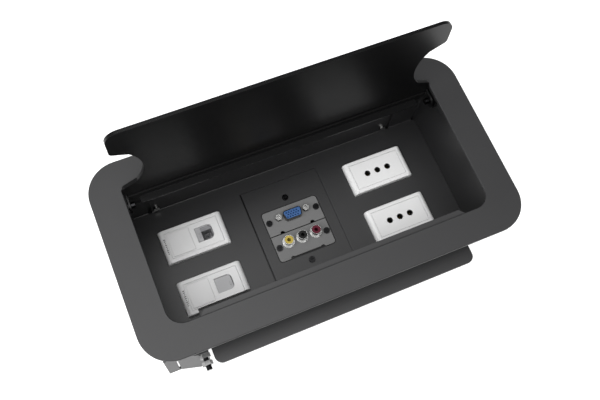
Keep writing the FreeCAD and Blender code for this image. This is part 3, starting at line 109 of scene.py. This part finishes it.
class Graph:
    """The node tree of one material."""

    def __init__(self, name: str) -> None:
        """Start an empty material with an output node."""
        self.material = bpy.data.materials.new(name)
        self.material.use_nodes = True
        self.tree = self.material.node_tree
        self.tree.nodes.clear()
        self.output = self.tree.nodes.new("ShaderNodeOutputMaterial")

    def add(self, kind: str, settings: dict[str, Any], inputs: dict[Any, Any], output: Any = 0) -> Signal:
        """Add a node, set its options and then its sockets.

        Args:
            kind: The node's type.
            settings: Options of the node, or ramp stops under the name "stops".
            inputs: Values or signals by socket name or index.
            output: The output socket to return.

        Returns:
            The chosen output as a signal.
        """
        made = self.tree.nodes.new(kind)
        for name, value in settings.items():
            if name == "stops":
                self._stops(made.color_ramp, value)
            else:
                setattr(made, name, value)
        for key, value in inputs.items():
            if isinstance(value, Signal):
                self.tree.links.new(value.socket, made.inputs[key])
            else:
                made.inputs[key].default_value = value
        return Signal(self, made.outputs[output])

    @staticmethod
    def _stops(ramp: bpy.types.ColorRamp, stops: Sequence[tuple[float, float]]) -> None:
        """Give a ramp its grey stops, as pairs of place and value."""
        while len(ramp.elements) > 1:
            ramp.elements.remove(ramp.elements[-1])
        for number, (place, value) in enumerate(stops):
            element = ramp.elements[0] if number == 0 else ramp.elements.new(place)
            element.position = place
            element.color = (value, value, value, 1)

    def place(self) -> Signal:
        """The point being shaded, in the piece's own metres."""
        return self.add("ShaderNodeTexCoord", {}, {}, "Object")

    def stretched(self, scale: Point) -> Signal:
        """The shaded point with each axis scaled by its own factor."""
        return self.add("ShaderNodeVectorMath", {"operation": "MULTIPLY"}, {0: self.place(), 1: scale})

    def noise(self, grain: float, detail: float = 2.0, source: Signal | None = None) -> Signal:
        """Soft noise from 0 to 1 whose lumps are about one grain across."""
        where = source or self.place()
        return self.add("ShaderNodeTexNoise", {}, {"Vector": where, "Scale": 1 / grain, "Detail": detail})

    def ramp(self, value: Signal, stops: Sequence[tuple[float, float]]) -> Signal:
        """A value passed through grey stops."""
        return self.add("ShaderNodeValToRGB", {"stops": stops}, {0: value})

    def blend(self, factor: Signal, first: Signal | Colour, second: Colour) -> Signal:
        """Two colours mixed by a factor; the first may come from another node."""
        under = first if isinstance(first, Signal) else (*first, 1)
        inputs = {"Factor": factor, "A": under, "B": (*second, 1)}
        return self.add("ShaderNodeMix", {"data_type": "RGBA"}, inputs, 2)

    def between(self, low: float, high: float, margin: float = 1 * MM) -> Signal:
        """One where the shaded point's height lies between two levels and nought elsewhere."""
        floor, span = low - margin, high - low + 2 * margin
        start, stop = ((level - floor) / span for level in (low, high))
        z = self.add("ShaderNodeSeparateXYZ", {}, {0: self.place()}, "Z")
        stops = [(0.0, 0.0), (start, 0.0), (start + 0.02, 1.0), (stop, 1.0), (stop + 0.01, 0.0)]
        return self.ramp((z - floor) * (1 / span), stops)

    def rounded(self, radius: float) -> Signal:
        """The surface normal with hard edges eased over a radius."""
        return self.add("ShaderNodeBevel", {"samples": 4}, {"Radius": radius})

    def bump(self, height: Signal, distance: float, normal: Signal | None = None) -> Signal:
        """A normal disturbed by a height map."""
        inputs: dict[str, Any] = {"Height": height, "Distance": distance, "Strength": 1.0}
        if normal is not None:
            inputs["Normal"] = normal
        return self.add("ShaderNodeBump", {}, inputs)

    def surface(self, **sockets: Any) -> bpy.types.Material:
        """End the graph in a Principled shader with the named sockets."""
        inputs = {name.replace("_", " "): value for name, value in sockets.items()}
        shader = self.add("ShaderNodeBsdfPrincipled", {}, inputs)
        self.tree.links.new(shader.socket, self.output.inputs["Surface"])
        return self.material


def scaled(colour: Colour, share: float) -> Colour:
    """A colour scaled by a share, kept below white."""
    return tuple(min(1.0, channel * share) for channel in colour)


# Finishes

# Painted shade for the walls of socket holes.
PAINTED_HOLE_SHADE: Colour = (0.012, 0.012, 0.012)
NICKEL: Colour = (0.60, 0.60, 0.59)
WHITE: Colour = (0.80, 0.80, 0.80)


@dataclass(frozen=True)
class Finish:
    """A colour, the two shades that it drifts between, and a roughness with the range that it varies over."""

    name: str
    colour: Colour
    roughness: float
    shades: tuple[float, float] = (1.0, 1.0)
    sheen: float = 0.0

    def build(self) -> bpy.types.Material:
        """A plain surface of this colour; each kind of finish adds its own texture."""
        return Graph(self.name).surface(Base_Color=(*self.colour, 1), Roughness=self.roughness)

    def mottled(self, graph: Graph, lumps: Signal) -> Signal:
        """The colour between its two shades, chosen by a noise."""
        dark, pale = (scaled(self.colour, share) for share in self.shades)
        return graph.blend(lumps, dark, pale)

    def worn(self, grain: Signal) -> Signal:
        """The roughness, varied by a noise."""
        return self.roughness - self.sheen / 2 + grain * self.sheen


@dataclass(frozen=True)
class PowderCoat(Finish):
    """Baked powder paint on sheet steel: a fine pebbled skin with faint cloudiness."""

    shades: tuple[float, float] = (0.88, 1.12)
    sheen: float = 0.10
    pebble: float = 0.7 * MM
    cloud: float = 40 * MM
    height: float = 0.010 * MM
    edge: float = 0.3 * MM
    gloss: float = 0.5

    def build(self) -> bpy.types.Material:
        """Two sizes of lump in the skin and a slightly cloudy colour."""
        graph = Graph(self.name)
        fine = graph.noise(self.pebble, 3.0)
        coarse = graph.noise(self.pebble * 4, 1.0)
        colour = self.mottled(graph, graph.noise(self.cloud, 2.0))
        skin = graph.bump(fine + coarse * 0.6, self.height, graph.rounded(self.edge))
        rough = self.worn(fine)
        return graph.surface(Base_Color=colour, Roughness=rough, Specular_IOR_Level=self.gloss, Normal=skin)


@dataclass(frozen=True)
class Moulding(Finish):
    """Injection-moulded plastic: eased edges, a fine spark texture and slight shade changes."""

    shades: tuple[float, float] = (0.96, 1.04)
    sheen: float = 0.08
    spark: float = 0.25 * MM
    flow: float = 14 * MM
    height: float = 0.003 * MM
    edge: float = 0.35 * MM
    gloss: float = 0.5
    # Socket holes: below this top, over this depth, the colour is painted dark as shade in the holes.
    hole_top: float | None = None
    hole_deep: float = 20 * MM

    def build(self) -> bpy.types.Material:
        """A fine skin, a colour that drifts with the plastic's flow, and holes whose walls are painted dark
        as shade.
        """
        graph = Graph(self.name)
        fine = graph.noise(self.spark, 2.0)
        colour = self.mottled(graph, graph.noise(self.flow, 1.0))
        if self.hole_top is not None:
            # Painted shade: the hole walls, from the face down over the depth, are darkened.
            hole_shade_mask = graph.between(self.hole_top - self.hole_deep, self.hole_top)
            colour = graph.blend(hole_shade_mask, colour, PAINTED_HOLE_SHADE)
        skin = graph.bump(fine, self.height, graph.rounded(self.edge))
        rough = self.worn(fine)
        return graph.surface(Base_Color=colour, Roughness=rough, Specular_IOR_Level=self.gloss, Normal=skin)


@dataclass(frozen=True)
class Plated(Finish):
    """Plated or turned metal with fine tool lines, small tarnish patches and, in a well, a band of painted
    shade and dark reflection.
    """

    shades: tuple[float, float] = (0.85, 1.1)
    sheen: float = 0.12
    line: float = 0.12 * MM
    patch: float = 1.5 * MM
    height: float = 0.002 * MM
    edge: float = 0.15 * MM
    # Painted shade: between these two heights the colour is cut to this share of itself, standing for shade
    # and dark reflection.
    dark_band: tuple[float, float] | None = None
    band_share: float = 0.07

    def build(self) -> bpy.types.Material:
        """Lines across Z, as a lathe leaves them, and patches that are duller."""
        graph = Graph(self.name)
        lines = graph.noise(self.line, 1.0, graph.stretched((0.15, 0.15, 1.0)))
        patches = graph.noise(self.patch, 2.0)
        colour = self.mottled(graph, patches)
        # Painted shade and dark reflection: the band between the two heights is darkened.
        if self.dark_band:
            colour = graph.blend(graph.between(*self.dark_band), colour, scaled(self.colour, self.band_share))
        skin = graph.bump(lines, self.height, graph.rounded(self.edge))
        return graph.surface(Base_Color=colour, Roughness=self.worn(patches), Metallic=1.0, Normal=skin)


@dataclass(frozen=True)
class Rubber(Finish):
    """Dull moulded rubber with a light bloom."""

    shades: tuple[float, float] = (1.0, 1.8)
    bloom: float = 5 * MM
    grain: float = 0.4 * MM
    height: float = 0.006 * MM

    def build(self) -> bpy.types.Material:
        """A grainy dull skin, paler where the bloom lies."""
        graph = Graph(self.name)
        colour = self.mottled(graph, graph.noise(self.bloom, 3.0))
        skin = graph.bump(graph.noise(self.grain, 2.0), self.height)
        return graph.surface(Base_Color=colour, Roughness=self.roughness, Normal=skin)


class Coat(Enum):
    """The finishes: one for each slot of the record, then those of single nodes and of the marks."""

    FRAME_PAINT = PowderCoat("frame_paint", (0.021, 0.021, 0.022), 0.48)
    LID_PAINT = PowderCoat("lid_paint", (0.003, 0.003, 0.0032), 0.32, gloss=0.25)
    PANEL_PAINT = PowderCoat("panel_paint", (0.019, 0.019, 0.020), 0.42)
    BRACKET_GREY = PowderCoat("bracket_grey", (0.15, 0.15, 0.15), 0.40, pebble=0.5 * MM)
    WHITE_PLASTIC = Moulding("white_plastic", WHITE, 0.34)
    GREY_PLASTIC = Moulding("grey_plastic", (0.42, 0.42, 0.43), 0.34)
    DARK_PLASTIC = Moulding("dark_plastic", (0.26, 0.26, 0.27), 0.42)
    BLUE_PLASTIC = Moulding("blue_plastic", (0.028, 0.10, 0.28), 0.38, edge=0.6 * MM)
    YELLOW_PLASTIC = Moulding("yellow_plastic", (0.50, 0.38, 0.07), 0.36, gloss=0.2)
    BLACK_PLASTIC = Moulding("black_plastic", (0.006, 0.006, 0.006), 0.36, gloss=0.2)
    RED_PLASTIC = Moulding("red_plastic", (0.10, 0.006, 0.020), 0.36, gloss=0.2)
    ZINC = Plated("zinc", (0.50, 0.50, 0.49), 0.20)
    BLACK_SCREW = Plated("black_screw", (0.020, 0.020, 0.021), 0.24)
    BRASS = Plated("brass", (0.70, 0.55, 0.25), 0.30)
    RUBBER = Rubber("rubber", (0.02, 0.02, 0.02), 0.75)
    # Shade is painted on the walls of the socket face's holes.
    SOCKET_FACE = Moulding("socket_face", WHITE, 0.34, hole_top=-81.1 * MM)
    # A darker, rougher copy of the zinc for the stop nuts; the darker colour is painted shade that tones down
    # their reflections.
    DULL_ZINC = Plated("dull_shaded_zinc", (0.26, 0.26, 0.26), 0.32)
    # These three carry a painted shade band: their sides between the two heights are darkened for shade and
    # dark reflection.
    BARREL_NICKEL = Plated("barrel_nickel", NICKEL, 0.17, dark_band=(-84.5 * MM, -78.2 * MM))
    SHELL_NICKEL = Plated("shell_nickel", NICKEL, 0.17, dark_band=(-84.9 * MM, -79.0 * MM))
    POST_NICKEL = Plated("post_nickel", NICKEL, 0.20, dark_band=(-84.9 * MM, -81.0 * MM))
    INK = Finish("ink", (0.10, 0.10, 0.10), 0.6)


SPECIAL_COATS = {
    "phono_barrel_yellow": Coat.BARREL_NICKEL,
    "phono_barrel_black": Coat.BARREL_NICKEL,
    "phono_barrel_red": Coat.BARREL_NICKEL,
    "video_shell": Coat.SHELL_NICKEL,
    "jackscrews": Coat.POST_NICKEL,
    # The stop nuts get the copy of the zinc darkened with painted shade.
    "stop_nuts": Coat.DULL_ZINC,
    "power_insert_rear": Coat.SOCKET_FACE,
    "power_insert_front": Coat.SOCKET_FACE,
}


class Paintbox:
    """Builds each finish once, when it is first asked for."""

    def __init__(self) -> None:
        """Start with nothing built."""
        self.built: dict[str, bpy.types.Material] = {}

    def get(self, coat: Coat) -> bpy.types.Material:
        """The material of a finish."""
        if coat.name not in self.built:
            self.built[coat.name] = coat.value.build()
        return self.built[coat.name]

    def dress_nodes(self, frame: dict[str, Any]) -> None:
        """Give each node its own finish, or else the finish of its slot in the record."""
        for part in frame["record"]["subparts"]:
            mesh = frame["nodes"][part["node"]].data
            mesh.materials.clear()
            slot_coat = Coat[part["material_slot"].upper()]
            mesh.materials.append(self.get(SPECIAL_COATS.get(part["node"], slot_coat)))


# Objects and meshes


def scene_object(name: str, data: bpy.types.ID) -> bpy.types.Object:
    """Make an object and link it to the scene."""
    item = bpy.data.objects.new(name, data)
    bpy.context.scene.collection.objects.link(item)
    return item


def grid_piece(
    name: str,
    points: np.ndarray,
    coat: Coat,
    paints: Paintbox,
    closed: bool = True,
) -> bpy.types.Object:
    """Make one piece from one or more grids of points.

    Args:
        name: The piece's name.
        points: An array of rows by columns by 3, or a stack of such grids; a row is a ring or a strip.
        coat: The finish.
        paints: Where its material comes from.
        closed: Whether each row joins up with its own start.

    Returns:
        The new object, not yet riding on anything.
    """
    rows, columns = points.shape[-3:-1]
    index = np.arange(points.size // 3).reshape(-1, rows, columns)
    if closed:
        index = np.concatenate([index, index[:, :, :1]], axis=2)
    corners = (index[:, :-1, :-1], index[:, :-1, 1:], index[:, 1:, 1:], index[:, 1:, :-1])
    faces = np.stack([corner.ravel() for corner in corners], axis=1)
    mesh = bpy.data.meshes.new(name)
    mesh.from_pydata(points.reshape(-1, 3).tolist(), [], faces.tolist())
    mesh.shade_smooth()
    mesh.materials.append(paints.get(coat))
    piece = scene_object(name, mesh)
    return piece


# Screw threads


@dataclass
class Threads:
    """Rolled threads on shanks that run along Y, as a stack of equal spans of one length."""

    name: str
    coat: Coat
    starts: Sequence[Point]
    length: float
    radius: float = 2.0 * MM
    lift: float = 0.02 * MM
    pitch: float = 0.7 * MM
    depth: float = 0.22 * MM
    around: int = 24
    per_turn: int = 8
    fewest_rows: int = 6

    def surface(self) -> np.ndarray:
        """The skin of the threaded spans, whose crests fade in over half a pitch at both ends.

        It lies at radius + lift + depth * (1 - |2 phase - 1|), where phase = y / pitch - angle / turn.

        Returns:
            One grid for each start, rows along Y and columns round the shank.
        """
        rows = max(self.fewest_rows, int(self.length / self.pitch * self.per_turn))
        along = np.linspace(0.0, self.length, rows)
        angle = np.linspace(0, -2 * np.pi, self.around, endpoint=False)
        y, turn = np.meshgrid(along, angle, indexing="ij")
        phase = (y / self.pitch - turn / (2 * np.pi)) % 1.0
        fade = np.clip(np.minimum(y, self.length - y) / (0.5 * self.pitch), 0.0, 1.0)
        reach = self.radius + self.lift + self.depth * fade * (1 - np.abs(2 * phase - 1))
        one = np.stack([reach * np.cos(turn), y, reach * np.sin(turn)], axis=-1)
        return one[None] + np.array(self.starts)[:, None, None, :]

    def build(self, paints: Paintbox) -> None:
        """Make the threads and let them ride with the housing's screws."""
        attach(grid_piece(self.name, self.surface(), self.coat, paints), "housing")
        LOG.info("threads %s", self.name)


# Data modules


@dataclass
class DataModule:
    """What a data module has beside its mouldings: contact wires in the jack and plain marks on the skin.

    A wire starts at wire_start from the middle of the jack's top, goes by wire_run and rises by wire_arch on
    the way; these pairs are along Y and Z. wire_tilt turns its round section square to the slope.
    """

    name: str
    jack: Point
    mark: Point
    wires: int = 8
    wire_pitch: float = 1.02 * MM
    wire_radius: float = 0.2 * MM
    wire_start: tuple[float, float] = (2.9 * MM, -1.4 * MM)
    wire_run: tuple[float, float] = (-4.6 * MM, -6.2 * MM)
    wire_arch: float = 0.9 * MM
    wire_tilt: tuple[float, float] = (0.8, -0.6)
    wire_rows: int = 12
    wire_around: int = 8
    marks: int = 9
    mark_pitch: float = 1.6 * MM
    mark_half_wide: float = 0.4 * MM
    mark_half_long: float = 0.45 * MM
    mark_growth: float = 0.15 * MM

    def contacts(self) -> np.ndarray:
        """One tube for each wire, swept over u from 0 to 1 along its path."""
        along = np.linspace(0, 1, self.wire_rows)
        angle = np.linspace(0, -2 * np.pi, self.wire_around, endpoint=False)
        u, turn = np.meshgrid(along, angle, indexing="ij")
        side = self.wire_radius * np.sin(turn)
        x = self.wire_radius * np.cos(turn)
        y = self.wire_start[0] + self.wire_run[0] * u + self.wire_tilt[0] * side
        arch = self.wire_arch * np.sin(np.pi * u)
        z = self.wire_start[1] + self.wire_run[1] * u + arch + self.wire_tilt[1] * side
        tube = np.stack([x, y, z], axis=-1)
        across = (np.arange(self.wires) - (self.wires - 1) / 2) * self.wire_pitch
        starts = np.array(self.jack) + across[:, None] * np.array([1.0, 0.0, 0.0])
        return tube[None] + starts[:, None, None, :]

    def ticks(self) -> np.ndarray:
        """Flat strokes along X, one row of them along Y, of lengths that repeat in threes."""
        number = np.arange(self.marks)
        half = self.mark_half_long + self.mark_growth * (number % 3)
        row = (number - (self.marks - 1) / 2) * self.mark_pitch
        u, v = np.meshgrid(np.array([-1.0, 1.0]), np.array([1.0, -1.0]), indexing="ij")
        x = self.mark[0] + half[:, None, None] * u[None]
        y = self.mark[1] + row[:, None, None] + self.mark_half_wide * v[None]
        return np.stack([x, y, np.full_like(x, self.mark[2])], axis=-1)

    def build(self, paints: Paintbox) -> None:
        """Make both and let them ride with the housing."""
        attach(grid_piece(f"contacts_{self.name}", self.contacts(), Coat.ZINC, paints), "housing")
        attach(grid_piece(f"marks_{self.name}", self.ticks(), Coat.INK, paints, closed=False), "housing")
        LOG.info("data module %s", self.name)


# Studio


@dataclass(frozen=True)
class Lamp:
    """A soft square lamp that points at the origin."""

    name: str
    place: Point
    size: float
    power: float

    def build(self) -> None:
        """Make the lamp."""
        data = bpy.data.lights.new(self.name, "AREA")
        data.shape = "RECTANGLE"
        data.size = self.size
        data.size_y = self.size
        data.energy = self.power
        item = scene_object(self.name, data)
        item.location = self.place
        item.rotation_euler = (-Vector(self.place)).to_track_quat("-Z", "Y").to_euler()


@dataclass
class Studio:
    """Floor, lamps and the camera at the photograph's viewpoint."""

    floor_level: float
    camera_place: Point = (-0.1184, -0.1678, 0.5281)
    camera_target: Point = (-0.0068, 0.0004, 0.0)
    camera_roll: float = 11.5
    sensor: float = 36.0
    lens: float = 45.8
    floor_half: float = 3.0
    floor_colour: Colour = (0.82, 0.82, 0.82)
    floor_roughness: float = 0.9
    floor_glow: float = 0.55
    world_level: float = 0.25
    lamps: tuple[Lamp, ...] = (
        Lamp("overhead", (-0.5, -0.3, 1.9), 2.4, 60.0),
        Lamp("left_side", (-1.5, -0.4, 0.9), 1.0, 10.0),
    )

    def camera(self) -> None:
        """Aim a camera from its place at its target, then roll it about its own axis."""
        data = bpy.data.cameras.new("photo_camera")
        data.lens = self.lens
        data.sensor_width = self.sensor
        data.clip_start = 0.01
        item = scene_object("photo_camera", data)
        sight = Vector(self.camera_target) - Vector(self.camera_place)
        aim = sight.to_track_quat("-Z", "Y").to_matrix().to_4x4()
        roll = Matrix.Rotation(radians(self.camera_roll), 4, "Z")
        item.matrix_world = Matrix.Translation(self.camera_place) @ aim @ roll
        bpy.context.scene.camera = item

    def floor(self) -> None:
        """A wide pale floor; the camera and mirrors see it almost white, and it keeps the shadow."""
        half, z = self.floor_half, self.floor_level
        corners = [(-half, -half, z), (half, -half, z), (half, half, z), (-half, half, z)]
        mesh = bpy.data.meshes.new("floor")
        mesh.from_pydata(corners, [], [(0, 1, 2, 3)])
        graph = Graph("floor_paper")
        ray = "ShaderNodeLightPath"
        seen = graph.add(ray, {}, {}, "Is Camera Ray") + graph.add(ray, {}, {}, "Is Glossy Ray")
        seen = seen + graph.add(ray, {}, {}, "Is Transmission Ray")
        graph.surface(
            Base_Color=(*self.floor_colour, 1),
            Roughness=self.floor_roughness,
            Emission_Color=(1, 1, 1, 1),
            Emission_Strength=seen * self.floor_glow,
        )
        mesh.materials.append(graph.material)
        item = scene_object("floor", mesh)

    def world(self) -> None:
        """A soft grey world that the camera sees as white."""
        world = bpy.data.worlds.new("studio")
        world.use_nodes = True
        nodes, links = world.node_tree.nodes, world.node_tree.links
        background = nodes["Background"]
        background.inputs["Color"].default_value = (1, 1, 1, 1)
        level = nodes.new("ShaderNodeMapRange")
        level.inputs["To Min"].default_value = self.world_level
        level.inputs["To Max"].default_value = 1.0
        links.new(nodes.new("ShaderNodeLightPath").outputs["Is Camera Ray"], level.inputs["Value"])
        links.new(level.outputs["Result"], background.inputs["Strength"])
        bpy.context.scene.world = world

    def build(self) -> None:
        """Set the whole studio up."""
        bpy.context.scene.view_settings.view_transform = "Standard"
        self.camera()
        self.floor()
        for lamp in self.lamps:
            lamp.build()
        self.world()
        LOG.info("studio stands")


# Small parts

STOP_SCREW_X = 111 * MM
TIP_CHAMFER = 0.1 * MM
TIP_THREAD = 3.2 * MM
MIDDLE_THREAD = 2.2 * MM
MIDDLE_STARTS = (-79.5 * MM, 86.3 * MM)
CLAMP_SCREW_X = 80 * MM
CLAMP_THREAD = 1.3 * MM
CLAMP_STARTS = (-52.7 * MM, 60.4 * MM)
MARK_OUTSIDE_COVER = 3.2 * MM
MARK_LIFT = 0.03 * MM


def thread_parts(paints: Paintbox) -> None:
    """Threads on the stop screws' tips and middles and on the clamp screws."""
    low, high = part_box("stop_screws")
    level = (low.z + high.z) / 2
    tip_starts = (low.y + TIP_CHAMFER, high.y - TIP_THREAD - TIP_CHAMFER)
    tips = [(-STOP_SCREW_X, tip_starts[0], level), (STOP_SCREW_X, tip_starts[1], level)]
    Threads("thread_tips", Coat.BLACK_SCREW, tips, TIP_THREAD).build(paints)
    middles = [(-STOP_SCREW_X, MIDDLE_STARTS[0], level), (STOP_SCREW_X, MIDDLE_STARTS[1], level)]
    Threads("thread_middles", Coat.BLACK_SCREW, middles, MIDDLE_THREAD).build(paints)
    low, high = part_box("clamp_screws")
    level = (low.z + high.z) / 2
    clamps = [(side * CLAMP_SCREW_X, start, level) for side in (-1, 1) for start in CLAMP_STARTS]
    Threads("thread_clamps", Coat.ZINC, clamps, CLAMP_THREAD).build(paints)


def data_parts(paints: Paintbox) -> None:
    """Contact wires and marks of both data modules."""
    for end in ("rear", "front"):
        low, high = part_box(f"data_jack_{end}")
        face_low, face_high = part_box(f"data_frame_{end}")
        cover_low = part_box(f"label_cover_{end}")[0]
        middle = (face_low.y + face_high.y) / 2
        mark = (cover_low.x - MARK_OUTSIDE_COVER, middle, face_high.z + MARK_LIFT)
        DataModule(end, ((low.x + high.x) / 2, middle, high.z), mark).build(paints)


def main() -> None:
    """Dress the frame, add the small parts and set the studio."""
    logging.basicConfig(level=logging.INFO, format="%(name)s: %(message)s")
    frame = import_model()
    paints = Paintbox()
    paints.dress_nodes(frame)
    thread_parts(paints)
    data_parts(paints)
    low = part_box("housing_shell")[0]
    Studio(floor_level=low.z).build()


if __name__ == "__main__":
    main()
